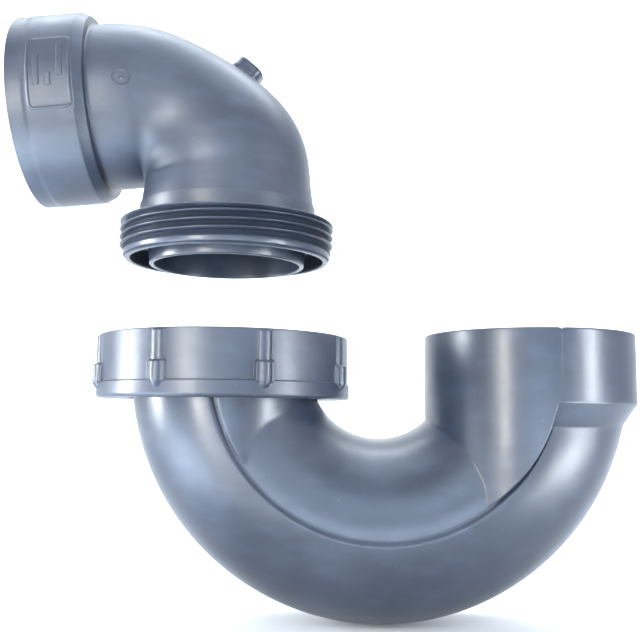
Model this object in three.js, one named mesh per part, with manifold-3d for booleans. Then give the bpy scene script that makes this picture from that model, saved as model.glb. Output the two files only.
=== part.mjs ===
// A black plastic P trap for 1-1/2 in drain pipe, shown with its union undone:
// the elbow is lifted off the U bend, and the slip nut is loose on the bend's inlet leg.
// Millimetres, +Z up. The U lies in the XZ plane, with the drain outlet towards -X.
// Each piece is drawn about the centre of the U, and the whole is then moved so that
// the origin is the middle of the outlet hub's mouth.
import * as THREE from "three";
import { mergeVertices } from "three/addons/utils/BufferGeometryUtils.js";
import Module from "manifold-3d";

const wasm = await Module();
wasm.setup();

// ---- Shared fits ----
const SOCKET_R = 24.3; // takes a 48.3 mm pipe
const BORE_R = 20.5; // waterway
const ROUND_SEGMENTS = 40;
const SWEEP_SEGMENTS = 48; // round a full turn of the U
const SECTION_POINTS = 14; // along half of the U's section, an even number
const BEND_STEPS = 22; // along the U's bore
const ELBOW_STEPS = 14; // along the elbow's curve

// ---- U bend ----
const BEND_R = 43.4; // centreline of the U
const TUBE_R = 24.4; // outer half of the U, a raised band
const BAND_STEP = 0.9; // how far the band stands above the inner half, front and back
const HUB_X = 41.5; // inlet hub's axis
const HUB_R = 28.5;
const HUB_TOP = 9.5;
const HUB_LEDGE = -9.1; // underside of the hub on the outer side
const HUB_CHAMFER = 6.0;
const SOCKET_DEPTH = 18.5;
const CORE_BOTTOM = -36; // straight walls of both legs run down into the inner half

// ---- Union, all on one axis ----
const UNION_X = -42.6;
const LEG_R = 25.0;
const SHOULDER_Z = -4.9; // top of the bend's inlet leg, where the spigot starts
const SPIGOT_R = 23.0;
const SPIGOT_TOP = -1.9;

const COLLAR_R = 28.8;
const COLLAR_BORE_R = 23.3;
const COLLAR_Z = [-4.6, -1.6];

const GASKET_R = 28.6;
const GASKET_BORE_R = 22.4;
const GASKET_Z = [-1.3, 0.9];

// ---- Slip nut ----
const NUT_R = 34.0;
const NUT_BASE_R = 34.5; // slightly larger band round the bottom
const NUT_Z = [-8.5, 8.3];
const NUT_BASE_TOP = -4.5;
const NUT_FLOOR = -4.9;
const NUT_HOLE_R = 26.3;
const NUT_THREAD_R = [30.3, 31.6]; // crest and root
const LUG_COUNT = 8;
const LUG_FIRST_ANGLE = -67.5; // degrees from the front, towards +X
const LUG_RIB = { width: 3.6, proud: 0.9, z: [-1, 8.3] };
const LUG_BLOCK = { width: 5.1, proud: 1.9, z: [-6.5, 0.3] };

// ---- Elbow ----
const RING_END = 29.8; // lower face of the threaded ring, with the union undone
const RING_HEIGHT = 10.3;
const RING_THREAD_R = [29.8, 28.5]; // crest and root
const RING_LEAD = 2.4; // plain band below the threads
const THREAD_PITCH = 2.209; // 11.5 to the inch
const THREAD_TURNS = 3;
const GROOVE_R = [22.2, 26.8];
const GROOVE_DEPTH = 5.5;
const NOSE_R = 21.7;
const NOSE_LENGTH = 1.3; // stands out below the ring's end face
const NECK_R = 24.3;
const NECK_FOOT_R = 24.6;
const NECK_FOOT_TOP = 15.3; // above the ring's end face
const NECK_TAPER = 6; // the neck narrows to the tube over this length
const ELBOW_R = 23.4;
const ELBOW_CENTRE = { x: UNION_X - ELBOW_R, z: RING_END + 22.0 };
const ELBOW_TUBE_R = 23.2;
const ELBOW_BORE_R = 20.3;
const SQUEEZE = { tube: 2.1, bore: 1.3, middle: 60, reach: 50 }; // mm and degrees round the curve
const OUTLET_FALL = 5.5; // degrees below level, away from the elbow
const OUTLET_LENGTH = 30.2; // from the end of the curve to the hub's mouth
const OUTLET_HUB = { radius: 26.7, length: 17.2, chamfer: 2.8, socket: 17.5 };
const PAD = { angle: 49, length: 8.4, width: 8.4, y: -2, proud: 2.6 };

// ---- Making solids ----

// A closed geometry as a solid that can be joined and cut.
function solid(geometry) {
  const bare = geometry.clone();
  bare.deleteAttribute("normal");
  bare.deleteAttribute("uv");
  const merged = mergeVertices(bare, 1e-4);
  return new wasm.Manifold(
    new wasm.Mesh({
      numProp: 3,
      vertProperties: new Float32Array(merged.attributes.position.array),
      triVerts: new Uint32Array(merged.index.array),
    }),
  );
}

// A solid turned about an upright axis at x, from [radius, z] corners taken anticlockwise.
function turned(corners, x = 0) {
  const profile = corners.map(([radius, z]) => new THREE.Vector2(radius, z));
  const geometry = new THREE.LatheGeometry(profile, ROUND_SEGMENTS);
  return solid(geometry.rotateX(Math.PI / 2).translate(x, 0, 0));
}

function rod(radius, low, high, x = 0) {
  return turned([[0, low], [radius, low], [radius, high], [0, high]], x);
}

function ring(inner, outer, low, high, x = 0) {
  const corners = [[inner, low], [outer, low], [outer, high], [inner, high]];
  return turned([...corners, corners[0]], x);
}

function box(low, high) {
  const size = high.map((value, axis) => value - low[axis]);
  const middle = high.map((value, axis) => (value + low[axis]) / 2);
  return solid(new THREE.BoxGeometry(...size).translate(...middle));
}

// The lower half of a tube bent about the Y axis. The section's outer half is a half
// circle, and its inner half is flatter from front to back.
function lowerHalfTurn(bendR, tubeR, flattening) {
  const section = [];
  for (let i = 0; i <= SECTION_POINTS; i++) {
    const angle = -Math.PI / 2 + (Math.PI * i) / SECTION_POINTS;
    section.push([bendR + tubeR * Math.cos(angle), tubeR * Math.sin(angle)]);
  }
  for (let i = 0; i <= SECTION_POINTS; i++) {
    const angle = Math.PI / 2 + (Math.PI * i) / SECTION_POINTS;
    const depth = tubeR - flattening;
    section.push([bendR + tubeR * Math.cos(angle), depth * Math.sin(angle)]);
  }
  section.push(section[0]);
  const profile = section.map((point) => new THREE.Vector2(...point));
  const whole = solid(new THREE.LatheGeometry(profile, SWEEP_SEGMENTS));
  return whole.intersect(box([-80, -40, -80], [80, 40, 0]));
}

// Round sections along a curve in the XZ plane. Each section has a middle (x, z), a
// radius, and the angle of the way the curve runs there, from +X towards +Z.
function sweep(sections) {
  const positions = [];
  const faces = [];
  for (const { x, z, heading, radius } of sections) {
    for (let j = 0; j < ROUND_SEGMENTS; j++) {
      const around = (2 * Math.PI * j) / ROUND_SEGMENTS;
      const across = radius * Math.cos(around);
      const depth = radius * Math.sin(around);
      positions.push(x - across * Math.sin(heading), depth, z + across * Math.cos(heading));
    }
  }
  for (let i = 0; i + 1 < sections.length; i++) {
    for (let j = 0; j < ROUND_SEGMENTS; j++) {
      const here = i * ROUND_SEGMENTS + j;
      const next = i * ROUND_SEGMENTS + ((j + 1) % ROUND_SEGMENTS);
      const [ahead, aheadNext] = [here + ROUND_SEGMENTS, next + ROUND_SEGMENTS];
      faces.push(here, ahead, next, next, ahead, aheadNext);
    }
  }
  const last = (sections.length - 1) * ROUND_SEGMENTS;
  for (let j = 1; j + 1 < ROUND_SEGMENTS; j++) {
    faces.push(0, j, j + 1, last, last + j + 1, last + j);
  }
  const geometry = new THREE.BufferGeometry();
  geometry.setAttribute("position", new THREE.Float32BufferAttribute(positions, 3));
  geometry.setIndex(faces);
  return solid(geometry);
}

// ---- The pieces ----

function makeBendBore() {
  const down = -Math.PI / 2;
  const up = Math.PI / 2;
  const [start, end] = [187, 348]; // degrees from +X towards +Z
  const curve = [];
  for (let step = 0; step <= BEND_STEPS; step++) {
    const angle = THREE.MathUtils.degToRad(start + ((end - start) * step) / BEND_STEPS);
    const [x, z] = [BEND_R * Math.cos(angle), BEND_R * Math.sin(angle)];
    curve.push({ x, z, heading: angle + Math.PI / 2, radius: BORE_R });
  }
  return sweep([
    { x: UNION_X, z: SPIGOT_TOP + 1, heading: down, radius: BORE_R },
    { x: UNION_X, z: SHOULDER_Z, heading: down, radius: BORE_R },
    ...curve,
    { x: BEND_R - 1, z: HUB_LEDGE + 3, heading: up, radius: BORE_R },
  ]);
}

function makeBend() {
  const insideU = solid(
    new THREE.CylinderGeometry(BEND_R, BEND_R, 80, SWEEP_SEGMENTS),
  );
  const hubCore = rod(HUB_R, CORE_BOTTOM, HUB_LEDGE, HUB_X);
  const legCore = rod(LEG_R, CORE_BOTTOM, SHOULDER_Z, UNION_X);
  const below = box([-80, -40, CORE_BOTTOM - 1], [80, 40, -1]);
  const core = hubCore.add(legCore).intersect(insideU).intersect(below);
  const hub = turned(
    [
      [0, HUB_LEDGE - HUB_CHAMFER],
      [TUBE_R, HUB_LEDGE - HUB_CHAMFER],
      [HUB_R, HUB_LEDGE],
      [HUB_R, HUB_TOP],
      [0, HUB_TOP],
    ],
    HUB_X,
  );
  const legEnd = box([-90, -40, SHOULDER_Z], [-5, 40, 40]);
  const socketFloor = HUB_TOP - SOCKET_DEPTH;
  return lowerHalfTurn(BEND_R, TUBE_R, BAND_STEP)
    .add(core)
    .add(hub)
    .subtract(legEnd)
    .add(rod(SPIGOT_R, SHOULDER_Z - 3, SPIGOT_TOP, UNION_X))
    .subtract(makeBendBore())
    .subtract(rod(SOCKET_R, socketFloor, HUB_TOP + 1, HUB_X));
}

function makeCollar() {
  return ring(COLLAR_BORE_R, COLLAR_R, ...COLLAR_Z, UNION_X);
}

function makeGasket() {
  return ring(GASKET_BORE_R, GASKET_R, ...GASKET_Z, UNION_X);
}

// A row of thread ridges going up, as [radius, z] corners.
function threadRidges(rootR, crestR, low) {
  const ridges = [];
  for (let turn = 0; turn < THREAD_TURNS; turn++) {
    const z = low + turn * THREAD_PITCH;
    ridges.push(
      [rootR, z],
      [crestR, z + 0.35 * THREAD_PITCH],
      [crestR, z + 0.65 * THREAD_PITCH],
    );
  }
  ridges.push([rootR, low + THREAD_TURNS * THREAD_PITCH]);
  return ridges;
}

function lugOnNut(angle, { width, proud, z }) {
  const lug = new THREE.BoxGeometry(width, proud + 1, z[1] - z[0]);
  lug.translate(0, -(NUT_R + (proud - 1) / 2), (z[0] + z[1]) / 2);
  lug.rotateZ(THREE.MathUtils.degToRad(angle));
  return solid(lug.translate(UNION_X, 0, 0));
}

function makeNut() {
  const [low, high] = NUT_Z;
  const [crestR, rootR] = NUT_THREAD_R;
  const threadLow = high - 1.2 - THREAD_TURNS * THREAD_PITCH;
  const inside = threadRidges(rootR, crestR, threadLow).reverse();
  const corners = [
    [NUT_HOLE_R, low],
    [NUT_BASE_R - 0.8, low],
    [NUT_BASE_R, low + 0.8],
    [NUT_BASE_R, NUT_BASE_TOP],
    [NUT_R, NUT_BASE_TOP],
    [NUT_R, high],
    [rootR + 0.6, high],
    ...inside,
    [rootR, NUT_FLOOR],
    [NUT_HOLE_R, NUT_FLOOR],
  ];
  let nut = turned([...corners, corners[0]], UNION_X);
  for (let i = 0; i < LUG_COUNT; i++) {
    const angle = LUG_FIRST_ANGLE + (360 * i) / LUG_COUNT;
    nut = nut.add(lugOnNut(angle, LUG_RIB)).add(lugOnNut(angle, LUG_BLOCK));
  }
  return nut;
}

// The elbow's centreline: s runs up the neck to the start of the curve at 0, round the
// curve, and on along the outlet.
const ELBOW_TURN = THREE.MathUtils.degToRad(90 + OUTLET_FALL);
const ELBOW_ARC = ELBOW_R * ELBOW_TURN;

function elbowSection(s, radius) {
  const angle = Math.min(Math.max(s, 0), ELBOW_ARC) / ELBOW_R;
  const beyond = s - angle * ELBOW_R;
  const heading = angle + Math.PI / 2;
  return {
    x: ELBOW_CENTRE.x + ELBOW_R * Math.cos(angle) + beyond * Math.cos(heading),
    z: ELBOW_CENTRE.z + ELBOW_R * Math.sin(angle) + beyond * Math.sin(heading),
    heading,
    radius,
  };
}

// How much the curve's outer side is flattened, from 0 to 1, at a number of degrees round it.
function squeezeAt(angle) {
  const away = Math.abs(angle - SQUEEZE.middle) / SQUEEZE.reach;
  return away < 1 ? Math.cos((away * Math.PI) / 2) ** 2 : 0;
}

// The flattening narrows the tube and draws it in, so the inside of the curve stays put.
function elbowCurve(radius, narrowing) {
  const sections = [];
  for (let step = 0; step <= ELBOW_STEPS; step++) {
    const degrees = ((90 + OUTLET_FALL) * step) / ELBOW_STEPS;
    const angle = THREE.MathUtils.degToRad(degrees);
    const squeeze = squeezeAt(degrees);
    const arcR = ELBOW_R - SQUEEZE.tube * squeeze;
    sections.push({
      x: ELBOW_CENTRE.x + arcR * Math.cos(angle),
      z: ELBOW_CENTRE.z + arcR * Math.sin(angle),
      heading: angle + Math.PI / 2,
      radius: radius - narrowing * squeeze,
    });
  }
  return sections;
}

const MOUTH = ELBOW_ARC + OUTLET_LENGTH;
const mouth = elbowSection(MOUTH, SOCKET_R);

function makeElbowOutside() {
  const ringEnd = RING_END - ELBOW_CENTRE.z;
  const ringTop = ringEnd + RING_HEIGHT;
  const [crestR, rootR] = RING_THREAD_R;
  const ridges = threadRidges(rootR, crestR, ringEnd + RING_LEAD);
  const hubBack = MOUTH - OUTLET_HUB.length;
  const neck = [
    [NOSE_R, ringEnd - NOSE_LENGTH],
    [NOSE_R, ringEnd],
    [rootR - 0.5, ringEnd],
    [rootR, ringEnd + 0.5],
    ...ridges,
    [crestR, ringTop - 0.8],
    [crestR, ringTop],
    [NECK_FOOT_R, ringTop],
    [NECK_FOOT_R, ringEnd + NECK_FOOT_TOP],
    [NECK_R, ringEnd + NECK_FOOT_TOP],
    [NECK_R, -NECK_TAPER],
  ];
  const outlet = [
    [ELBOW_TUBE_R, hubBack - OUTLET_HUB.chamfer],
    [OUTLET_HUB.radius - 0.6, hubBack - OUTLET_HUB.chamfer],
    [OUTLET_HUB.radius, hubBack],
    [OUTLET_HUB.radius, MOUTH],
  ];
  return sweep([
    ...neck.map(([radius, s]) => elbowSection(s, radius)),
    ...elbowCurve(ELBOW_TUBE_R, SQUEEZE.tube),
    ...outlet.map(([radius, s]) => elbowSection(s, radius)),
  ]);
}

function makeElbowBore() {
  const low = RING_END - NOSE_LENGTH - ELBOW_CENTRE.z - 1;
  const socketFloor = MOUTH - OUTLET_HUB.socket;
  return sweep([
    elbowSection(low, ELBOW_BORE_R),
    ...elbowCurve(ELBOW_BORE_R, SQUEEZE.bore),
    elbowSection(socketFloor, ELBOW_BORE_R),
    elbowSection(socketFloor, SOCKET_R),
    elbowSection(MOUTH + 1, SOCKET_R),
  ]);
}

// A flat moulded pad on the outside of the curve.
function makePad() {
  const depth = PAD.proud + 4;
  const pad = new THREE.BoxGeometry(depth, PAD.width, PAD.length);
  const crown = ELBOW_R + ELBOW_TUBE_R - 2 * SQUEEZE.tube * squeezeAt(PAD.angle);
  pad.translate(crown + PAD.proud - depth / 2, PAD.y, 0);
  pad.rotateY(-THREE.MathUtils.degToRad(PAD.angle));
  return solid(pad.translate(ELBOW_CENTRE.x, 0, ELBOW_CENTRE.z));
}

function makeElbow() {
  const grooveTop = RING_END + GROOVE_DEPTH;
  return makeElbowOutside()
    .add(makePad())
    .subtract(makeElbowBore())
    .subtract(ring(...GROOVE_R, RING_END - 1, grooveTop, UNION_X));
}

// ---- Materials ----

const black = { color: 0x33363f, roughness: 0.42, metalness: 0 };
const rubber = { color: 0x1a1a1a, roughness: 0.8, metalness: 0 };

function mesh(name, made, finish) {
  const { vertProperties, triVerts, numProp } = made.getMesh();
  const geometry = new THREE.BufferGeometry();
  const positions = new THREE.InterleavedBuffer(vertProperties, numProp);
  geometry.setAttribute("position", new THREE.InterleavedBufferAttribute(positions, 3, 0));
  geometry.setIndex(new THREE.BufferAttribute(triVerts, 1));
  const piece = new THREE.Mesh(geometry, new THREE.MeshStandardMaterial(finish));
  piece.name = name;
  return piece;
}

// ---- The assembly ----

const trap = new THREE.Group();
trap.name = "p_trap";
trap.add(
  mesh("trap_elbow", makeElbow(), black),
  mesh("union_gasket", makeGasket(), rubber),
  mesh("union_collar", makeCollar(), black),
  mesh("slip_nut", makeNut(), black),
  mesh("trap_bend", makeBend(), black),
);

trap.position.set(-mouth.x, 0, -mouth.z);

export default trap;
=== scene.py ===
"""Looks of the P trap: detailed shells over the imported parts, moulded plastic and rubber."""

import math

import bpy
import numpy as np
from mathutils import Matrix, Vector


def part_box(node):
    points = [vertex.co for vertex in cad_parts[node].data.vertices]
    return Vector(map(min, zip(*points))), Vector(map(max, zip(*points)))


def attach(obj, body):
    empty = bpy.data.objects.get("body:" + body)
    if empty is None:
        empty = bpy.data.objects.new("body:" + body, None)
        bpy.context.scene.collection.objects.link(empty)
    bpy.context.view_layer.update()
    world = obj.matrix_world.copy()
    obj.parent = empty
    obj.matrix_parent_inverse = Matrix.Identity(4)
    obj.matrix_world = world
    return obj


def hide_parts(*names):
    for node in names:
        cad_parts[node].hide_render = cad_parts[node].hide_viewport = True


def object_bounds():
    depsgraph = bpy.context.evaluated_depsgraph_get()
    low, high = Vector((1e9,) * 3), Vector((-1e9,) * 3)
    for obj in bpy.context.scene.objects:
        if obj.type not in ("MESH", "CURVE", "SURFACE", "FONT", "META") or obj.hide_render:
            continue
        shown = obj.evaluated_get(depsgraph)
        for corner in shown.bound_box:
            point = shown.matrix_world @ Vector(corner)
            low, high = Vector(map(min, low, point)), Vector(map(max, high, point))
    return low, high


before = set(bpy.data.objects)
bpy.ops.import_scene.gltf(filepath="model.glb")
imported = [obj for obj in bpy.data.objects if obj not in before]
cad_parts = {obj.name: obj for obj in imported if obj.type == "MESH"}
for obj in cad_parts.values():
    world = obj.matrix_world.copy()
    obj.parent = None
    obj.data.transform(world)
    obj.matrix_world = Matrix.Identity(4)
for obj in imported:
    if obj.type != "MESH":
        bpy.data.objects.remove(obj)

cad_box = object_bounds()

# Shapes are worked out in millimetres about the centre of the U bend, as in the CAD model.
MM = 0.001

# ---- U bend ----
BEND_R = 43.4
TUBE_R = 24.4
BAND_STEP = 0.9  # the outer half of the tube stands this far over the inner half
BAND_FOOT = 0.2  # where the step is, outwards of the centreline
BAND_SLOPE = 1.1
BAND_COVER = 0.4  # how far under the outer half the inner half's surface runs on
HUB_X = 41.5
HUB_R = 28.5
HUB_TOP = 9.5
HUB_LEDGE = -9.1
HUB_CHAMFER = 6.0
SOCKET_DEPTH = 18.5
SOCKET_R = 24.3
BORE_R = 20.5
CORE_BOTTOM = -36.0  # the legs' round cores run down inside the band to here
CORE_SET_BACK = {"hub": 0.15, "leg": 0.2}  # inwards of the centreline
CORE_OVERLAP = 1.0  # the hub's core runs this far up into the hub
BEND_BLENDS = {
    "band": 0.25,
    "step": 0.35,
    "ledge": 0.15,
    "hub_core_end": 0.3,
    "hub_core": 0.25,
    "leg_core": 1.2,
    "join": 0.16,
}
NOTCH_HALF = 0.7
NOTCH_DEPTH = 0.6
NOTCH_REACH = 1.3  # how far in from the rim's outside

# How closely the bend's outer surface is meshed.
BEND_COLUMNS = 320
CREASE_PULL = 0.3  # pulls the columns together at the front and back creases
MIDDLE_R = BEND_R - 1.0  # the rays that find the surface start on this circle
FAN_TOP = -15.0  # above this the rings are level
FAN_RINGS = 340
HUB_RING_STEP = 0.8
LEDGE_ZONE_TOP = HUB_LEDGE + 1.0
LEDGE_RING_STEP = 0.25
LEG_RING_STEP = 0.5
HALVINGS = 26

# ---- Union ----
UNION_X = -42.6
LEG_R = 25.0
SHOULDER_Z = -4.9
SPIGOT_R = 23.0
SPIGOT_TOP = -1.9
COLLAR = {"bore": 23.3, "radius": 28.8, "low": -4.6, "high": -1.6}
GASKET = {"bore": 22.4, "radius": 28.6, "low": -1.3, "high": 0.9}
BEAD_RADII = (24.5, 26.7)  # the gasket's two sealing beads
BEAD_HALF = 0.3
BEAD_HEIGHT = 0.25
THREAD_PITCH = 2.209
THREAD_RING_STEP = 0.14

# ---- Slip nut ----
NUT_R = 34.0
NUT_BASE_R = 34.5
NUT_LOW = -8.5
NUT_HIGH = 8.3
NUT_BASE_TOP = -4.5
NUT_FLOOR = -4.9
NUT_HOLE_R = 26.3
NUT_ROOT_R = 31.6
NUT_CREST_R = 30.3
LUGS = 8
LUG_PITCH = 2 * math.pi / LUGS
LUG_FIRST_ANGLE = math.radians(-67.5 - 90)
LUG_ZONE_HALF = 3.0  # the mesh is close on either side of a lug's middle
LUG_RIB_HALF = 1.75  # a half-round rib up each lug
LUG_RIB_PROUD = 0.9
LUG_BLOCK = {"half": 2.5, "proud": 1.1, "low": -4.9, "high": 0.3}
LUG_NOSE = {"half": 1.9, "proud": 1.9, "low": -6.5}  # stands out of the block, and ends round
LUG_NOSE_START = LUG_BLOCK["low"] + 1.2  # where the nose starts to round off
NUT_MATT = 0.6  # the elbow's skin is 1 and the bend's 0

# ---- Elbow ----
RING_END = 29.8
RING_HEIGHT = 10.3
RING_CREST_R = 29.8
RING_ROOT_R = 28.5
RING_LEAD = 2.4
ELBOW_R = 23.4
ELBOW_X = UNION_X - ELBOW_R
ELBOW_Z = RING_END + 22.0
ELBOW_TUBE_R = 23.2
ELBOW_BORE_R = 20.3
NECK_R = 24.3
NECK_FOOT_R = 24.6
NECK_FOOT_TOP = 15.3
NECK_TAPER = 6.0
GROOVE_DEPTH = 5.5  # the groove between the nose and the threaded ring
GROOVE_R = 26.7
GROOVE_MOUTH_R = 26.9
NOSE_LENGTH = 1.3
NOSE_R = 21.5
NOSE_FOOT_R = 22.2
SQUEEZE_TUBE = 2.1  # how much the curve's outer side is flattened at most
SQUEEZE_BORE = 1.3
SQUEEZE_MIDDLE = 60.0  # degrees round the curve
SQUEEZE_HALF = 50.0
OUTLET_FALL = math.radians(5.5)
OUTLET_LENGTH = 30.2
OUTLET_HUB_R = 26.7
OUTLET_HUB_LENGTH = 17.2
OUTLET_CHAMFER = 2.8
OUTLET_LIP = 4.6  # a fine step runs round the hub this far from its mouth
OUTLET_LIP_STEP = 0.12
OUTLET_SOCKET = 17.5
ARC = ELBOW_R * (math.pi / 2 + OUTLET_FALL)
MOUTH = ARC + OUTLET_LENGTH

# ---- Marks on the elbow ----
PATCH_SPACING = 0.1
PATCH_SUNK = 0.06  # a mark's sheet lies this far under the skin, so its edges don't show
MARKING = {"s": MOUTH - 11.4, "up": 2.0, "half_s": 5.4, "half_up": 10.0, "height": 0.32}
MARKING_MARGIN = 0.8
FRAME_CORNER = 1.4
FRAME_LINE_HALF = 0.32
BARS = [(-3.0, 3.0, 5.0), (0.1, -2.6, 1.8), (3.1, 0.4, 4.4)]  # along, up, half length
BAR_HALF = 0.75
BAR_CORNER = 0.5
SIDE_MARK = {"s": ARC + 0.7, "half": 3.2, "ring": 2.2, "line": 0.28, "dot": 0.5, "height": 0.3}
PAD = {"turn": math.radians(49), "half": 4.2, "proud": 2.6, "y": -2.0, "root": 3.0}
PAD_SQUARENESS = 0.62  # 1 is a round plan and 0 a square one

# The frame's place for the centre of the U, from two CAD nodes.
collar_low, collar_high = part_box("union_collar")
bend_low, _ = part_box("trap_bend")
SHIFT = np.array(
    [
        (collar_low.x + collar_high.x) / 2 - UNION_X * MM,
        0.0,
        bend_low.z + (BEND_R + TUBE_R) * MM,
    ]
)


# ---- Mesh tools ----

CORNER_POINTS = 6


def smooth_step(low, high, value):
    t = np.clip((value - low) / (high - low), 0.0, 1.0)
    return t * t * (3 - 2 * t)


def soft_min(a, b, blend):
    h = np.clip(0.5 + 0.5 * (b - a) / blend, 0.0, 1.0)
    return b * (1 - h) + a * h - blend * h * (1 - h)


def soft_max(a, b, blend):
    return -soft_min(-a, -b, blend)


def rounded_loop(corners, spacing):
    """Points round a closed outline of (a, b, corner radius), no further apart than
    spacing(a, b) says."""
    outline = []
    for i, (a, b, radius) in enumerate(corners):
        here = np.array([a, b], float)
        back = np.array(corners[i - 1][:2], float) - here
        on = np.array(corners[(i + 1) % len(corners)][:2], float) - here
        back_length, on_length = np.linalg.norm(back), np.linalg.norm(on)
        back, on = back / back_length, on / on_length
        half = math.acos(np.clip(back @ on, -1, 1)) / 2
        if radius == 0 or half > math.radians(89):
            outline.append(here)
            continue
        reach = min(radius / math.tan(half), 0.48 * back_length, 0.48 * on_length)
        middle = here + (back + on) / np.linalg.norm(back + on) * reach / math.cos(half)
        first, last = here + back * reach - middle, here + on * reach - middle
        for t in np.linspace(0, 1, CORNER_POINTS):
            mixed = first * (1 - t) + last * t
            mixed *= np.linalg.norm(first) / np.linalg.norm(mixed)
            outline.append(middle + mixed)
    points = []
    for here, on in zip(outline, outline[1:] + outline[:1]):
        middle = (here + on) / 2
        pieces = max(1, math.ceil(np.linalg.norm(on - here) / spacing(*middle)))
        points += [here + (on - here) * k / pieces for k in range(pieces)]
    return np.array(points)


def signed_volume(rings):
    a, b = rings, np.roll(rings, -1, 0)
    c, d = np.roll(b, -1, 1), np.roll(a, -1, 1)
    return np.sum(np.cross(a, b) * c) + np.sum(np.cross(a, c) * d)


def grid_faces(rows, columns, rows_close, columns_close):
    row_count = rows if rows_close else rows - 1
    column_count = columns if columns_close else columns - 1
    r, c = np.meshgrid(np.arange(row_count), np.arange(column_count), indexing="ij")
    r_on, c_on = (r + 1) % rows, (c + 1) % columns
    corners = [r * columns + c, r_on * columns + c, r_on * columns + c_on, r * columns + c_on]
    return np.stack(corners, -1).reshape(-1, 4)


def add_mesh(name, points, faces, attributes=None):
    """A smooth-shaded mesh object from points in millimetres about the centre of the U."""
    mesh = bpy.data.meshes.new(name)
    mesh.from_pydata((points * MM + SHIFT).tolist(), [], faces.tolist())
    mesh.polygons.foreach_set("use_smooth", np.ones(len(faces), bool))
    for key, values in (attributes or {}).items():
        layer = mesh.attributes.new(key, "FLOAT", "POINT")
        layer.data.foreach_set("value", values.astype(np.float32).ravel())
    mesh.update()
    piece = bpy.data.objects.new(name, mesh)
    bpy.context.scene.collection.objects.link(piece)
    return piece


def closed_shell(name, rings, attributes=None):
    """A closed mesh from rings of points, where both the rings and their order close."""
    rows, columns = rings.shape[:2]
    faces = grid_faces(rows, columns, True, True)
    if signed_volume(rings) < 0:
        faces = faces[:, ::-1]
    return add_mesh(name, rings.reshape(-1, 3), faces, attributes)


def patch(name, points):
    """An open sheet from a grid of points, as matt as the elbow it lies on."""
    rows, columns = points.shape[:2]
    faces = grid_faces(rows, columns, False, False)
    return add_mesh(name, points.reshape(-1, 3), faces, {"matt": np.ones((rows, columns))})


def even_angles(count):
    return np.linspace(0, 2 * math.pi, count, endpoint=False)


def turned(name, corners, spacing):
    """A solid of revolution about the union's axis, from (radius, z, corner radius)."""
    loop = rounded_loop(corners, lambda radius, z: spacing)
    angles = even_angles(240)
    rings = np.empty((len(loop), len(angles), 3))
    rings[..., 0] = UNION_X + loop[:, :1] * np.cos(angles)
    rings[..., 1] = loop[:, :1] * np.sin(angles)
    rings[..., 2] = loop[:, 1:]
    return closed_shell(name, rings)


def finish_piece(piece, body, node, material):
    piece.data.materials.append(material)
    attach(piece, body)
    if node:
        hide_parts(node)


# ---- U bend ----


def tube_surface(outward, y):
    """The bent tube, whose outer half is a raised band."""
    inner_r = TUBE_R - BAND_STEP
    reach = np.where(outward > 0, TUBE_R - BAND_COVER, TUBE_R)
    flatter = (np.sqrt((outward / reach) ** 2 + (y / inner_r) ** 2) - 1) * inner_r
    past_step = BAND_FOOT - outward + BAND_SLOPE * (np.abs(y) - inner_r)
    step = past_step / math.hypot(1, BAND_SLOPE)
    band = soft_max(np.hypot(outward, y) - TUBE_R, step, BEND_BLENDS["band"])
    return soft_min(flatter, band, BEND_BLENDS["step"])


def hub_surface(hub_distance, z):
    """The inlet hub, with the chamfer under its ledge."""
    slope = (TUBE_R - HUB_R) / HUB_CHAMFER
    under = (hub_distance - HUB_R + slope * (z - HUB_LEDGE)) / math.hypot(1, slope)
    return soft_max(hub_distance - HUB_R, under, BEND_BLENDS["ledge"])


def bend_surface(x, y, z):
    """Below zero inside the bend's outer walls, above zero outside, in about millimetres."""
    outward = np.hypot(x, z) - BEND_R
    hub_distance = np.hypot(x - HUB_X, y)
    leg_distance = np.hypot(x - UNION_X, y)
    below_hub = soft_max(
        outward + CORE_SET_BACK["hub"],
        z - HUB_LEDGE - CORE_OVERLAP,
        BEND_BLENDS["hub_core_end"],
    )
    hub_core = soft_max(hub_distance - HUB_R, below_hub, BEND_BLENDS["hub_core"])
    leg_core = soft_max(
        leg_distance - LEG_R, outward + CORE_SET_BACK["leg"], BEND_BLENDS["leg_core"]
    )
    cores = np.maximum(np.minimum(hub_core, leg_core), CORE_BOTTOM - z)
    straight = np.minimum(hub_surface(hub_distance, z), cores)
    return soft_min(tube_surface(outward, y), straight, BEND_BLENDS["join"])


def cast_to_surface(origins, directions, nearest=8.0, furthest=60.0):
    """Where rays from inside the bend leave it."""
    low = np.full(directions.shape[:-1], nearest)
    high = np.full(directions.shape[:-1], furthest)
    for _ in range(HALVINGS):
        middle = (low + high) / 2
        at = origins + directions * middle[..., None]
        inside = bend_surface(at[..., 0], at[..., 1], at[..., 2]) < 0
        low = np.where(inside, middle, low)
        high = np.where(inside, high, middle)
    return origins + directions * low[..., None]


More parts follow.
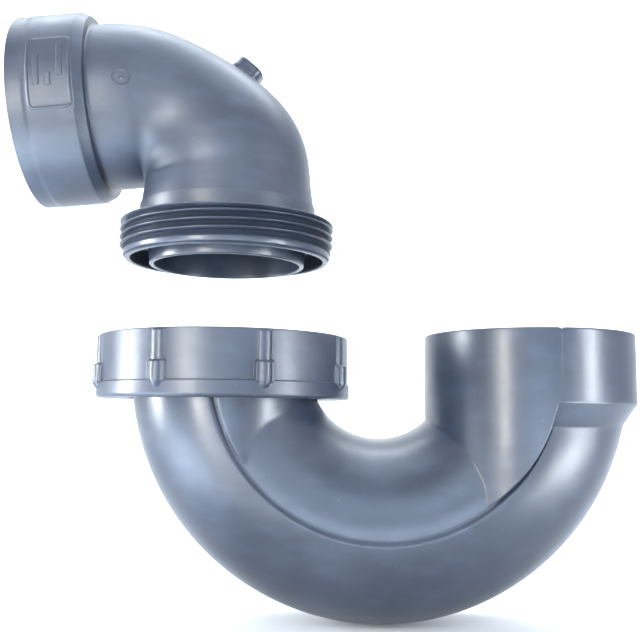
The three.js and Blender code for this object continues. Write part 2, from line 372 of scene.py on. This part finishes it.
def bend_stations():
    """Planes that cut the bend, from the hub's rim to the inlet leg's top: the point each
    starts from, near the centreline, and the way outwards in it."""
    fan_x = math.sqrt(MIDDLE_R**2 - FAN_TOP**2)
    starts, ways = [], []
    high_levels = np.arange(HUB_TOP - 0.6, LEDGE_ZONE_TOP, -HUB_RING_STEP)
    low_levels = np.arange(LEDGE_ZONE_TOP, FAN_TOP, -LEDGE_RING_STEP)
    for z in np.concatenate([high_levels, low_levels]):
        starts.append((HUB_X + (fan_x - HUB_X) * smooth_step(HUB_TOP, FAN_TOP, z), z))
        ways.append((1.0, 0.0))
    for angle in np.linspace(0, math.pi, FAN_RINGS):
        way = np.array([math.cos(angle), -math.sin(angle)])
        rise = FAN_TOP * way[1]
        reach = -rise + math.sqrt(rise * rise - FAN_TOP**2 + MIDDLE_R**2)
        starts.append((way[0] * reach, FAN_TOP + way[1] * reach))
        ways.append(tuple(way))
    for z in np.arange(FAN_TOP + LEG_RING_STEP, SHOULDER_Z, LEG_RING_STEP):
        starts.append((UNION_X - (UNION_X + fan_x) * smooth_step(SHOULDER_Z, FAN_TOP, z), z))
        ways.append((-1.0, 0.0))
    return np.array(starts), np.array(ways)


def section_ring(x, z, outward, radius, angles):
    """A circle about (x, z) in the plane of the outward way and Y."""
    ring = np.empty((len(angles), 3))
    ring[:, 0] = x + radius * np.cos(angles) * outward[0]
    ring[:, 1] = radius * np.sin(angles)
    ring[:, 2] = z + radius * np.cos(angles) * outward[1]
    return ring


def cut_rim_notch(rings):
    """A small nick in the hub's rim, where the parting line meets it at the front."""
    x, y, z = rings[..., 0], rings[..., 1], rings[..., 2]
    near = np.maximum(1 - np.abs(x - BEND_R) / NOTCH_HALF, 0) * (y < NOTCH_REACH - HUB_R)
    rings[..., 2] = np.minimum(z, HUB_TOP - NOTCH_DEPTH * near)


def bend_outside(angles):
    """Rings over the outer surface, from the hub's rim round to the union leg's shoulder."""
    starts, ways = bend_stations()
    directions = np.empty((len(starts), len(angles), 3))
    directions[..., 0] = ways[:, :1] * np.cos(angles)
    directions[..., 1] = np.sin(angles)
    directions[..., 2] = ways[:, 1:] * np.cos(angles)
    origins = np.zeros((len(starts), 1, 3))
    origins[:, 0, 0], origins[:, 0, 2] = starts[:, 0], starts[:, 1]
    return cast_to_surface(origins, directions)


def bend_inside(angles):
    """Rings over the hub's rim and socket, the waterway and the spigot."""
    right, left = (1.0, 0.0), (-1.0, 0.0)
    floor = HUB_TOP - SOCKET_DEPTH
    rim = [
        (HUB_R, HUB_TOP - 0.35),
        (HUB_R - 0.1, HUB_TOP - 0.1),
        (HUB_R - 0.35, HUB_TOP),
        (SOCKET_R + 0.9, HUB_TOP),
        (SOCKET_R + 0.6, HUB_TOP - 0.1),
        (SOCKET_R + 0.1, HUB_TOP - 1.1),
    ]
    wall = [(SOCKET_R, z) for z in np.linspace(HUB_TOP - 1.6, floor + 0.5, 14)]
    foot = [(SOCKET_R - 0.4, floor)]
    rings = [section_ring(HUB_X, z, right, r, angles) for r, z in rim + wall + foot]
    mouth = [(BORE_R + 0.5, floor), (BORE_R, floor - 0.5)]
    rings += [section_ring(MIDDLE_R, z, right, r, angles) for r, z in mouth]
    for turn in np.radians(np.arange(14, 172, 2.0)):
        out = (math.cos(turn), -math.sin(turn))
        rings.append(section_ring(BEND_R * out[0], BEND_R * out[1], out, BORE_R, angles))
    spigot = [
        (BORE_R, SPIGOT_TOP - 0.5),
        (BORE_R + 0.5, SPIGOT_TOP),
        (SPIGOT_R - 0.5, SPIGOT_TOP),
        (SPIGOT_R, SPIGOT_TOP - 0.5),
        (SPIGOT_R, SHOULDER_Z + 0.1),
        (SPIGOT_R + 0.1, SHOULDER_Z),
        (LEG_R - 0.9, SHOULDER_Z),
    ]
    rings += [section_ring(UNION_X, z, left, r, angles) for r, z in spigot]
    return np.array(rings)


def make_bend(material):
    angles = even_angles(BEND_COLUMNS)
    angles += CREASE_PULL * np.sin(2 * angles)
    outside = bend_outside(angles)
    rings = np.concatenate([outside[::-1], bend_inside(angles)])
    cut_rim_notch(rings)
    x, z = rings[..., 0], rings[..., 2]
    seam = np.where(z > 0, np.abs(x), np.hypot(x, z)) - BEND_R
    is_outside = np.zeros(rings.shape[:2])
    is_outside[: len(outside)] = 1
    piece = closed_shell("bend_shell", rings, {"seam": seam, "outside": is_outside})
    finish_piece(piece, "bend", "trap_bend", material)


# ---- Elbow ----


def squeeze_at(s):
    """How much the elbow's outer side is flattened at s along its centreline."""
    away = np.abs(np.degrees(np.asarray(s) / ELBOW_R) - SQUEEZE_MIDDLE) / SQUEEZE_HALF
    return np.where(away < 1, np.cos(np.minimum(away, 1) * math.pi / 2) ** 2, 0.0)


def elbow_points(s, radius, angles):
    """Points at radius from the elbow's centreline; angle 0 is the outside of the curve."""
    turn = np.clip(s, 0, ARC) / ELBOW_R
    beyond = s - turn * ELBOW_R
    heading = turn + math.pi / 2
    out_x, out_z = np.sin(heading), -np.cos(heading)
    across = ELBOW_R - SQUEEZE_TUBE * squeeze_at(s) + radius * np.cos(angles)
    x = ELBOW_X + across * out_x + beyond * np.cos(heading)
    z = ELBOW_Z + across * out_z + beyond * np.sin(heading)
    return np.stack(np.broadcast_arrays(x, radius * np.sin(angles), z), -1)


def thread_height(s, angles, low, high):
    """Height of a right-handed thread, 0 at the root and 1 at the narrow crest."""
    phase = ((s - low) / THREAD_PITCH - angles / (2 * math.pi)) % 1.0
    ridge = smooth_step(0.5, 0.95, np.abs(2 * phase - 1))
    fade = smooth_step(low - 0.2, low + 0.5, s) * (1 - smooth_step(high - 0.4, high, s))
    return ridge * fade


def neck_taper():
    """The neck narrowing smoothly to the tube at the start of the curve."""
    return [
        (s, NECK_R + (ELBOW_TUBE_R - NECK_R) * smooth_step(-NECK_TAPER - 3, 3, s), 0)
        for s in np.arange(-NECK_TAPER - 2.5, 3.1, 0.5)
    ]


def elbow_outline():
    """The elbow's section as (s, radius, corner radius): s runs along the centreline, from 0
    at the start of the curve, and is below 0 down the neck."""
    end = RING_END - ELBOW_Z
    top = end + RING_HEIGHT
    hub_back = MOUTH - OUTLET_HUB_LENGTH
    chamfer_back = hub_back - OUTLET_CHAMFER
    lip = MOUTH - OUTLET_LIP
    stop = MOUTH - OUTLET_SOCKET
    return [
        (end - NOSE_LENGTH, ELBOW_BORE_R, 0.35),
        (end - NOSE_LENGTH, NOSE_R, 0.45),
        (end + GROOVE_DEPTH, NOSE_FOOT_R, 0.6),
        (end + GROOVE_DEPTH, GROOVE_R, 0.6),
        (end, GROOVE_MOUTH_R, 0.3),
        (end, RING_ROOT_R - 0.4, 0.2),
        (end + 0.9, RING_ROOT_R + 0.3, 1.2),
        (end + RING_LEAD - 0.5, RING_ROOT_R + 0.3, 0.4),
        (end + RING_LEAD, RING_ROOT_R, 0.1),
        (top - 0.9, RING_ROOT_R, 0.1),
        (top - 0.3, RING_CREST_R, 0.1),
        (top, RING_CREST_R - 0.1, 0.15),
        (top, NECK_FOOT_R, 0.7),
        (end + NECK_FOOT_TOP, NECK_FOOT_R, 0.12),
        (end + NECK_FOOT_TOP + 0.1, NECK_R, 0.1),
        *neck_taper(),
        (chamfer_back, ELBOW_TUBE_R, 0.7),
        (chamfer_back + 0.1, OUTLET_HUB_R - 1.3, 0.6),
        (hub_back, OUTLET_HUB_R, 0.4),
        (lip - 0.1, OUTLET_HUB_R, 0),
        (lip + 0.1, OUTLET_HUB_R - OUTLET_LIP_STEP, 0),
        (MOUTH, OUTLET_HUB_R - OUTLET_LIP_STEP, 0.4),
        (MOUTH, SOCKET_R + 0.5, 0.3),
        (MOUTH - 1.2, SOCKET_R, 0.3),
        (stop, SOCKET_R, 0.4),
        (stop, ELBOW_BORE_R, 0.4),
    ]


def make_elbow(material):
    end = RING_END - ELBOW_Z
    threads = (end + RING_LEAD, end + RING_HEIGHT - 0.8)

    def spacing(s, radius):
        on_thread = threads[0] - 0.4 < s < threads[1] + 0.1 and radius > RING_ROOT_R - 0.3
        return THREAD_RING_STEP if on_thread else 0.9

    loop = rounded_loop(elbow_outline(), spacing)
    s, radius = loop[:, :1], loop[:, 1:]
    angles = even_angles(300)
    on_thread = (radius > RING_ROOT_R - 0.05) & (radius < RING_ROOT_R + 0.05) & (s < threads[1])
    height = np.where(on_thread, thread_height(s, angles, *threads), 0.0)
    is_bore = radius <= ELBOW_BORE_R + 0.001
    narrowing = np.where(is_bore, SQUEEZE_BORE, SQUEEZE_TUBE) * squeeze_at(s)
    wall = radius - narrowing + height * (RING_CREST_R - RING_ROOT_R)
    rings = elbow_points(s, wall, angles)
    seam = np.broadcast_to(rings[..., 1], rings.shape[:2])
    outside = np.broadcast_to(~is_bore, rings.shape[:2])
    groove = np.where(on_thread, 1 - height, 0.0)
    matt = np.broadcast_to(s > threads[1], rings.shape[:2])
    marks = {"seam": seam, "outside": outside, "groove": groove, "matt": matt}
    piece = closed_shell("elbow_shell", rings, marks)
    finish_piece(piece, "elbow", "trap_elbow", material)


def box_distance(a, b, half_a, half_b, corner):
    """Distance outside a rounded rectangle about the middle, below zero inside."""
    qa, qb = np.abs(a) - half_a + corner, np.abs(b) - half_b + corner
    outside = np.hypot(np.maximum(qa, 0), np.maximum(qb, 0))
    return outside + np.minimum(np.maximum(qa, qb), 0) - corner


def raised(distance, edge=0.22):
    return 1 - smooth_step(-edge, edge, distance)


def patch_grid(half_along, half_up):
    """Places over a sheet about its middle: along the centreline, and up round the tube."""
    along = np.arange(-half_along, half_along, PATCH_SPACING)[:, None]
    up = np.arange(-half_up, half_up, PATCH_SPACING)[None, :]
    return along, up


def make_hub_marking(material):
    """A raised frame round plain bars, on the front of the outlet hub."""
    half_s, half_up = MARKING["half_s"], MARKING["half_up"]
    along, up = patch_grid(half_s + MARKING_MARGIN, half_up + MARKING_MARGIN)
    frame_edge = box_distance(along, up, half_s, half_up, FRAME_CORNER)
    height = raised(np.abs(frame_edge) - FRAME_LINE_HALF)
    for bar_along, bar_up, bar_half in BARS:
        bar = box_distance(along - bar_along, up - bar_up, BAR_HALF, bar_half, BAR_CORNER)
        height = np.maximum(height, raised(bar))
    turn = -math.pi / 2 + (up + MARKING["up"]) / OUTLET_HUB_R
    radius = OUTLET_HUB_R - PATCH_SUNK + MARKING["height"] * height
    piece = patch("elbow_hub_marking", elbow_points(MARKING["s"] + along, radius, turn))
    finish_piece(piece, "elbow", None, material)


def make_side_mark(material):
    """A small raised ring with a dot, on the front of the elbow near its hub."""
    along, up = patch_grid(SIDE_MARK["half"], SIDE_MARK["half"])
    away = np.hypot(along, up)
    ring = raised(np.abs(away - SIDE_MARK["ring"]) - SIDE_MARK["line"])
    height = np.maximum(ring, raised(away - SIDE_MARK["dot"]))
    s = SIDE_MARK["s"] + along
    tube = ELBOW_TUBE_R - SQUEEZE_TUBE * squeeze_at(s)
    radius = tube - PATCH_SUNK + SIDE_MARK["height"] * height
    turn = -math.pi / 2 + up / ELBOW_TUBE_R
    piece = patch("elbow_side_mark", elbow_points(s, radius, turn))
    finish_piece(piece, "elbow", None, material)


def rounded_square(turns):
    """Where the unit square with full round corners is met, for each turn."""
    across, along = np.cos(turns), np.sin(turns)
    return (
        np.sign(across) * np.abs(across) ** PAD_SQUARENESS,
        np.sign(along) * np.abs(along) ** PAD_SQUARENESS,
    )


def make_gate_pad(material):
    """The cut-off moulding gate on the outside of the elbow."""
    turn, proud, root = PAD["turn"], PAD["proud"], PAD["root"]
    levels = [(-root, 1.08), (-0.25, 1.06), (0.1, 1.02), (proud - 0.8, 1.0)]
    levels += [(proud - 0.25, 0.98)] + [(proud, share) for share in (0.92, 0.6, 0.3, 0.02)]
    squeeze = float(squeeze_at(turn * ELBOW_R))
    crown = ELBOW_TUBE_R + ELBOW_R - 2 * SQUEEZE_TUBE * squeeze
    out = np.array([math.cos(turn), 0, math.sin(turn)])
    side = np.array([-math.sin(turn), 0, math.cos(turn)])
    middle = np.array([ELBOW_X, PAD["y"], ELBOW_Z]) + out * crown
    plan_side, plan_y = rounded_square(even_angles(72))
    plan = side * plan_side[:, None] + np.array([0, 1, 0]) * plan_y[:, None]
    rings = [middle + out * height + plan * PAD["half"] * share for height, share in levels]
    bottom = middle - out * root
    rings.append(bottom + 0.02 * (rings[0] - bottom))
    piece = closed_shell("elbow_gate_pad", np.array(rings))
    finish_piece(piece, "elbow", None, material)


# ---- Slip nut ----


def nut_outline():
    return [
        (NUT_HOLE_R, NUT_LOW, 0.4),
        (NUT_BASE_R, NUT_LOW, 0.9),
        (NUT_BASE_R, NUT_BASE_TOP, 0.2),
        (NUT_R, NUT_BASE_TOP + 0.1, 0.15),
        (NUT_R, NUT_HIGH, 0.35),
        (NUT_ROOT_R + 0.5, NUT_HIGH, 0.3),
        (NUT_ROOT_R, NUT_HIGH - 0.7, 0.3),
        (NUT_ROOT_R, NUT_FLOOR, 0.5),
        (NUT_HOLE_R, NUT_FLOOR, 0.4),
    ]


def nut_angles():
    """Columns close together across each lug, and wider apart between."""
    edge = LUG_ZONE_HALF / NUT_R
    across = np.arange(-LUG_ZONE_HALF, LUG_ZONE_HALF + 0.01, 0.15) / NUT_R
    between = np.linspace(edge, LUG_PITCH - edge, 18)[1:-1]
    one = np.concatenate([across, between])
    return np.concatenate([LUG_FIRST_ANGLE + LUG_PITCH * k + one for k in range(LUGS)])


def half_round(across, half):
    return np.sqrt(np.maximum(1 - (across / half) ** 2, 0))


def lug_block(across, z):
    low, high = LUG_BLOCK["low"], LUG_BLOCK["high"]
    outside = box_distance(across, z - (low + high) / 2, LUG_BLOCK["half"], (high - low) / 2, 0.5)
    return LUG_BLOCK["proud"] * raised(outside, 0.18)


def lug_nose(across, z):
    high = LUG_BLOCK["high"]
    below = np.clip((LUG_NOSE_START - z) / (LUG_NOSE_START - LUG_NOSE["low"]), 0, 1)
    roundness = np.sqrt(np.maximum(1 - below**2, 0))
    narrowed = LUG_NOSE["half"] * roundness + 0.001
    nose = LUG_NOSE["proud"] * half_round(across, narrowed) * roundness
    return nose * (1 - smooth_step(high - 0.3, high + 0.1, z))


def lug_rib(across, z):
    foot, top = LUG_BLOCK["low"], NUT_HIGH - 0.5
    rib = LUG_RIB_PROUD * half_round(across, LUG_RIB_HALF)
    rib = rib * smooth_step(foot, foot + 0.5, z)
    return rib * (1 - smooth_step(top - 0.2, top + 0.3, z))


def lug_height(angles, z):
    """How far each lug stands out of the nut: a half-round rib that runs down over a flat
    block, thicker there, and ends in a rounded nose below it."""
    turned_by = (angles - LUG_FIRST_ANGLE + LUG_PITCH / 2) % LUG_PITCH - LUG_PITCH / 2
    across = turned_by * NUT_R
    shapes = lug_rib(across, z), lug_block(across, z), lug_nose(across, z)
    return np.maximum.reduce(np.broadcast_arrays(*shapes))


def make_nut(material):
    def spacing(radius, z):
        on_thread = radius < NUT_ROOT_R + 0.1 and z > NUT_FLOOR + 1
        return THREAD_RING_STEP if on_thread else 0.22

    loop = rounded_loop(nut_outline(), spacing)
    radius, z = loop[:, :1], loop[:, 1:]
    angles = nut_angles()
    low, high = NUT_FLOOR + 1.5, NUT_HIGH - 0.4
    on_wall = (radius < NUT_ROOT_R + 0.05) & (radius > NUT_ROOT_R - 0.05)
    ridge = thread_height(z, angles, low, high) * (NUT_ROOT_R - NUT_CREST_R)
    proud = np.where(radius > NUT_R - 0.2, lug_height(angles, z), 0.0)
    proud = np.maximum(proud - (radius - NUT_R), 0) * (proud > 0)
    wall = radius - np.where(on_wall, ridge, 0.0) + proud
    rings = np.stack(
        np.broadcast_arrays(UNION_X + wall * np.cos(angles), wall * np.sin(angles), z), -1
    )
    matt = np.full(rings.shape[:2], NUT_MATT)
    piece = closed_shell("nut_shell", rings, {"matt": matt})
    finish_piece(piece, "nut", "slip_nut", material)


# ---- Collar and gasket ----


def make_collar(material):
    bore, radius = COLLAR["bore"], COLLAR["radius"]
    low, high = COLLAR["low"], COLLAR["high"]
    corners = [(bore, low, 0.3), (radius, low, 0.4), (radius, high, 0.4), (bore, high, 0.3)]
    piece = turned("collar_ring", corners, spacing=0.6)
    finish_piece(piece, "bend", "union_collar", material)


def make_gasket(material):
    """A flat washer with two fine sealing beads on its top."""
    bore, radius = GASKET["bore"], GASKET["radius"]
    low, top = GASKET["low"], GASKET["high"] - BEAD_HEIGHT
    corners = [(bore, low, 0.4), (radius, low, 0.4), (radius, top, 0.4)]
    for bead in reversed(BEAD_RADII):
        corners.append((bead + BEAD_HALF, top, 0.15))
        corners.append((bead, top + BEAD_HEIGHT, 0.15))
        corners.append((bead - BEAD_HALF, top, 0.15))
    corners.append((bore, top, 0.4))
    piece = turned("gasket_ring", corners, spacing=0.5)
    finish_piece(piece, "gasket", "union_gasket", material)


# ---- Materials ----

SLATE_DARK = (0.014, 0.02, 0.034)
SLATE_LIGHT = (0.022, 0.029, 0.045)
FLOW_GREY = (0.038, 0.048, 0.074)
DUST_GREY = (0.16, 0.17, 0.19)
RUBBED_GREY = (0.05, 0.06, 0.084)
# Painted shade: near black laid into the thread grooves, standing in for the shade that falls
# there.
GROOVE_PAINTED_SHADE = (0.005, 0.007, 0.011)
FLOW_STRETCH = (110, 60, 260)
PLASTIC_IOR = 1.55
PLASTIC_ROUGHNESS = (0.285, 0.37)
RUBBER_DARK = (0.012, 0.012, 0.013)
RUBBER_LIGHT = (0.035, 0.035, 0.037)
RUBBER_ROUGHNESS = (0.62, 0.8)
# Heights of the relief, in metres.
PEEL_HEIGHT = 0.00005
GRAIN_HEIGHT = 0.00001
PARTING_HEIGHT = 0.00003
RUBBER_GRAIN_HEIGHT = 0.00002


class Nodes:
    """Short calls for building one material's node tree."""

    def __init__(self, name):
        self.material = bpy.data.materials.new(name)
        self.material.use_nodes = True
        self.tree = self.material.node_tree
        self.shader = self.tree.nodes["Principled BSDF"]
        self.place = self.tree.nodes.new("ShaderNodeTexCoord").outputs["Object"]

    def link(self, source, target):
        self.tree.links.new(source, target)

    def feed(self, input_name, source):
        self.link(source, self.shader.inputs[input_name])

    def stretched(self, scale):
        node = self.tree.nodes.new("ShaderNodeMapping")
        node.inputs["Scale"].default_value = scale
        self.link(self.place, node.inputs["Vector"])
        return node.outputs["Vector"]

    def noise(self, scale, detail=2.0, roughness=0.5, place=None):
        node = self.tree.nodes.new("ShaderNodeTexNoise")
        node.inputs["Scale"].default_value = scale
        node.inputs["Detail"].default_value = detail
        node.inputs["Roughness"].default_value = roughness
        self.link(place or self.place, node.inputs["Vector"])
        return node.outputs["Fac"]

    def attribute(self, name):
        node = self.tree.nodes.new("ShaderNodeAttribute")
        node.attribute_name = name
        return node.outputs["Fac"]

    def map_range(self, value, low, high, to_low=0.0, to_high=1.0):
        node = self.tree.nodes.new("ShaderNodeMapRange")
        node.inputs["From Min"].default_value = low
        node.inputs["From Max"].default_value = high
        node.inputs["To Min"].default_value = to_low
        node.inputs["To Max"].default_value = to_high
        self.link(value, node.inputs["Value"])
        return node.outputs["Result"]

    def math(self, operation, a, b):
        node = self.tree.nodes.new("ShaderNodeMath")
        node.operation = operation
        for value, socket in ((a, node.inputs[0]), (b, node.inputs[1])):
            if isinstance(value, (int, float)):
                socket.default_value = value
            else:
                self.link(value, socket)
        return node.outputs["Value"]

    def mix(self, share, a, b):
        node = self.tree.nodes.new("ShaderNodeMix")
        node.data_type = "RGBA"
        self.link(share, node.inputs["Factor"])
        for value, socket in ((a, node.inputs[6]), (b, node.inputs[7])):
            if isinstance(value, tuple):
                socket.default_value = (*value, 1.0)
            else:
                self.link(value, socket)
        return node.outputs[2]

    def bump(self, height, distance, strength=1.0, under=None):
        node = self.tree.nodes.new("ShaderNodeBump")
        node.inputs["Distance"].default_value = distance
        node.inputs["Strength"].default_value = strength
        self.link(height, node.inputs["Height"])
        if under:
            self.link(under, node.inputs["Normal"])
        return node.outputs["Normal"]


def plastic_colour(nodes, rubbed, groove):
    """Slate, faintly mottled, with flow marks, dust and rubbed spots, and painted shade darkening
    the thread grooves.
    """
    mottle = nodes.map_range(nodes.noise(55, 3, 0.55), 0.35, 0.68)
    base = nodes.mix(mottle, SLATE_DARK, SLATE_LIGHT)
    flow = nodes.noise(1.0, 3.0, 0.5, nodes.stretched(FLOW_STRETCH))
    base = nodes.mix(nodes.map_range(flow, 0.5, 0.78, 0.0, 0.5), base, FLOW_GREY)
    dust = nodes.map_range(nodes.noise(1500, 1.0), 0.76, 0.82, 0.0, 0.3)
    base = nodes.mix(dust, base, DUST_GREY)
    base = nodes.mix(nodes.math("MULTIPLY", rubbed, 0.25), base, RUBBED_GREY)
    # Painted shade: the thread grooves are darkened towards near black where the groove mask is
    # high.
    return nodes.mix(nodes.math("MULTIPLY", groove, 0.75), base, GROOVE_PAINTED_SHADE)


def plastic_roughness(nodes, rubbed, groove):
    """Satin, duller where it is rubbed, in the grooves and on the matt mouldings."""
    rough = nodes.map_range(nodes.noise(90, 4, 0.6), 0.3, 0.7, *PLASTIC_ROUGHNESS)
    for share, more in ((rubbed, 0.1), (groove, 0.25), (nodes.attribute("matt"), 0.1)):
        rough = nodes.math("ADD", rough, nodes.math("MULTIPLY", share, more))
    return rough


def plastic_relief(nodes):
    """Orange peel, a fine moulded grain, and a broken parting line on the cast surfaces."""
    offset = nodes.math("ABSOLUTE", nodes.attribute("seam"), 0.0)
    line = nodes.map_range(offset, 0.04, 0.24, 1.0, 0.0)
    broken = nodes.map_range(nodes.noise(60, 2), 0.38, 0.6, 0.25, 1.0)
    line = nodes.math("MULTIPLY", line, nodes.attribute("outside"))
    line = nodes.math("MULTIPLY", line, broken)
    peel = nodes.bump(nodes.noise(210, 2.0), PEEL_HEIGHT)
    grain = nodes.bump(nodes.noise(3600, 2.0), GRAIN_HEIGHT, under=peel)
    return nodes.bump(line, PARTING_HEIGHT, under=grain)


def abs_plastic():
    """Moulded ABS. The meshes say where its seam, its cast surfaces, its thread grooves and
    its matt skin are."""
    nodes = Nodes("moulded_abs")
    rubbed = nodes.map_range(nodes.noise(34, 3, 0.5), 0.56, 0.78)
    groove = nodes.attribute("groove")
    nodes.feed("Base Color", plastic_colour(nodes, rubbed, groove))
    nodes.feed("Roughness", plastic_roughness(nodes, rubbed, groove))
    nodes.feed("Specular IOR Level", nodes.map_range(groove, 0.1, 0.8, 0.5, 0.06))
    nodes.feed("Normal", plastic_relief(nodes))
    nodes.shader.inputs["IOR"].default_value = PLASTIC_IOR
    return nodes.material


def rubber():
    """Black rubber with a grey bloom."""
    nodes = Nodes("gasket_rubber")
    bloom = nodes.map_range(nodes.noise(140, 4, 0.6), 0.4, 0.75)
    nodes.feed("Base Color", nodes.mix(bloom, RUBBER_DARK, RUBBER_LIGHT))
    nodes.feed("Roughness", nodes.map_range(nodes.noise(200, 3), 0.3, 0.7, *RUBBER_ROUGHNESS))
    nodes.feed("Normal", nodes.bump(nodes.noise(2600, 3), RUBBER_GRAIN_HEIGHT))
    return nodes.material


def plain_material(name, colour, roughness):
    nodes = Nodes(name)
    nodes.shader.inputs["Base Color"].default_value = (*colour, 1.0)
    nodes.shader.inputs["Roughness"].default_value = roughness
    return nodes.material


# ---- Stage, light and camera ----

VIEW_TARGET = (-16.3, 14.9)  # the point on the trap's middle plane at the picture's centre
VIEW_DISTANCE = 244.2
VIEW_RISE = math.radians(6.6)  # the camera looks up
VIEW_ROLL = math.radians(0.53)
VIEW_FOCUS = 49.1  # mm, on a 36 mm wide sensor

COOL = (0.88, 0.95, 1.0)
BLUE = (0.62, 0.79, 1.0)
WARM = (1.0, 0.97, 0.9)
WORLD_COLOUR = (0.94, 0.97, 1.04, 1.0)
PAPER = (0.8, 0.8, 0.8)
# The lights' places and sizes, and the paper's, are in metres.
# name, degrees round from the camera's side, distance, width, height, watts, colour
STRIP_LIGHTS = [
    ("left_strip", -84, 0.3, 0.035, 0.22, 0.28, COOL),
    ("front_strip", -30, 0.36, 0.03, 0.22, 0.18, WARM),
    ("right_strip", 58, 0.4, 0.06, 0.16, 0.15, COOL),
]
STRIP_FOOT = 0.01  # above the floor
STRIP_SPREAD = math.radians(60)
# Soft pools of light on the floor, seen in the lower sides of the bend: name, x, y, watts,
# colour
FLOOR_POOLS = [
    ("left_pool", -0.14, -0.085, 0.7, BLUE),
    ("front_pool", -0.11, -0.17, 0.25, WARM),
    ("right_pool", 0.19, -0.12, 1.8, COOL),
]
POOL_SIDE = 0.08
POOL_RISE = 0.12
# A low strip in front, seen along the inner half of the bend.
LOW_BOX = {"away": 0.42, "rise": 0.02, "width": 0.35, "height": 0.03, "watts": 0.12}
# name, place, what it faces, width, height, watts, colour; both places are from the middle
SOFT_BOXES = [
    ("front_box", (0, -0.9, 0.4), (0, 0, 0), 1.0, 0.4, 5, BLUE),
    ("top_box", (0, 0.1, 0.9), (0, 0, 0), 0.9, 0.9, 8, BLUE),
    ("backdrop_box", (0, 0.35, 0.75), (0, 0.9, 0.1), 1.2, 0.3, 14, COOL),
]
SWEEP_HALF_WIDTH = 1.6
SWEEP_FRONT = -2.4
SWEEP_BACK = 0.9
SWEEP_TOP = 1.8
SWEEP_BEND = 0.35
FLOOR_GAP = 0.0005


def in_frame(x, y, z):
    return Vector((np.array([x, y, z]) * MM + SHIFT).tolist())


def make_camera():
    data = bpy.data.cameras.new("photo_view")
    data.lens = VIEW_FOCUS
    camera = bpy.data.objects.new("photo_view", data)
    bpy.context.scene.collection.objects.link(camera)
    back = Vector((0, -math.cos(VIEW_RISE), -math.sin(VIEW_RISE)))
    target = in_frame(VIEW_TARGET[0], 0, VIEW_TARGET[1])
    camera.location = target + back * VIEW_DISTANCE * MM
    turn = back.to_track_quat("Z", "Y") @ Matrix.Rotation(VIEW_ROLL, 3, "Z").to_quaternion()
    camera.rotation_mode = "QUATERNION"
    camera.rotation_quaternion = turn
    bpy.context.scene.camera = camera


def make_area_light(name, place, target, width, height, power, colour):
    data = bpy.data.lights.new(name, "AREA")
    data.color = colour
    data.shape = "RECTANGLE"
    data.size, data.size_y = width, height
    data.energy = power
    light = bpy.data.objects.new(name, data)
    bpy.context.scene.collection.objects.link(light)
    light.location = place
    light.rotation_euler = (Vector(target) - Vector(place)).to_track_quat("-Z", "Y").to_euler()
    return data


def make_stage(low, middle):
    """A paper sweep: a level floor that curves up into a wall behind."""
    wall_foot = SWEEP_BACK - SWEEP_BEND
    profile = [(SWEEP_FRONT, 0.0), (wall_foot, 0.0)]
    for angle in np.linspace(-math.pi / 2, 0, 12)[1:]:
        y = wall_foot + SWEEP_BEND * math.cos(angle)
        profile.append((y, SWEEP_BEND + SWEEP_BEND * math.sin(angle)))
    profile.append((SWEEP_BACK, SWEEP_TOP))
    sides = (-SWEEP_HALF_WIDTH, SWEEP_HALF_WIDTH)
    rows = np.array([[x, y, z] for y, z in profile for x in sides])
    rows += np.array([middle.x, middle.y, low.z - FLOOR_GAP])
    mesh = bpy.data.meshes.new("studio_sweep")
    mesh.from_pydata(rows.tolist(), [], grid_faces(len(profile), 2, False, False).tolist())
    mesh.polygons.foreach_set("use_smooth", np.ones(len(profile) - 1, bool))
    sweep = bpy.data.objects.new("studio_sweep", mesh)
    bpy.context.scene.collection.objects.link(sweep)
    mesh.materials.append(plain_material("studio_paper", PAPER, 0.9))


def make_strips(low, middle):
    for name, azimuth, away, width, height, power, colour in STRIP_LIGHTS:
        turn = math.radians(azimuth)
        place = middle + away * Vector((math.sin(turn), -math.cos(turn), 0))
        place.z = low.z + STRIP_FOOT + height / 2
        target = Vector((middle.x, middle.y, place.z))
        strip = make_area_light(name, place, target, width, height, power, colour)
        strip.spread = STRIP_SPREAD


def make_floor_pools(low, middle):
    for name, x, y, power, colour in FLOOR_POOLS:
        spot = Vector((middle.x + x, middle.y + y, low.z))
        above = spot + Vector((0, 0, POOL_RISE))
        pool = make_area_light(name, above, spot, POOL_SIDE, POOL_SIDE, power, colour)
        pool.spread = STRIP_SPREAD


def make_low_box(low, middle):
    target = Vector((middle.x, middle.y, low.z + LOW_BOX["rise"]))
    place = target - Vector((0, LOW_BOX["away"], 0))
    size = LOW_BOX["width"], LOW_BOX["height"]
    box = make_area_light("low_box", place, target, *size, LOW_BOX["watts"], BLUE)
    box.spread = STRIP_SPREAD


def make_soft_boxes(middle):
    for name, place, target, width, height, power, colour in SOFT_BOXES:
        ends = middle + Vector(place), middle + Vector(target)
        make_area_light(name, *ends, width, height, power, colour)


def make_world():
    world = bpy.data.worlds.new("studio")
    world.use_nodes = True
    background = world.node_tree.nodes["Background"]
    background.inputs["Color"].default_value = WORLD_COLOUR
    background.inputs["Strength"].default_value = 1.0
    bpy.context.scene.world = world


def make_studio():
    low, high = cad_box
    middle = (low + high) / 2
    make_stage(low, middle)
    make_strips(low, middle)
    make_floor_pools(low, middle)
    make_low_box(low, middle)
    make_soft_boxes(middle)
    make_world()
    make_camera()
    bpy.context.scene.view_settings.view_transform = "Standard"


plastic = abs_plastic()
make_bend(plastic)
make_elbow(plastic)
make_hub_marking(plastic)
make_side_mark(plastic)
make_gate_pad(plastic)
make_nut(plastic)
make_collar(plastic)
make_gasket(rubber())
make_studio()
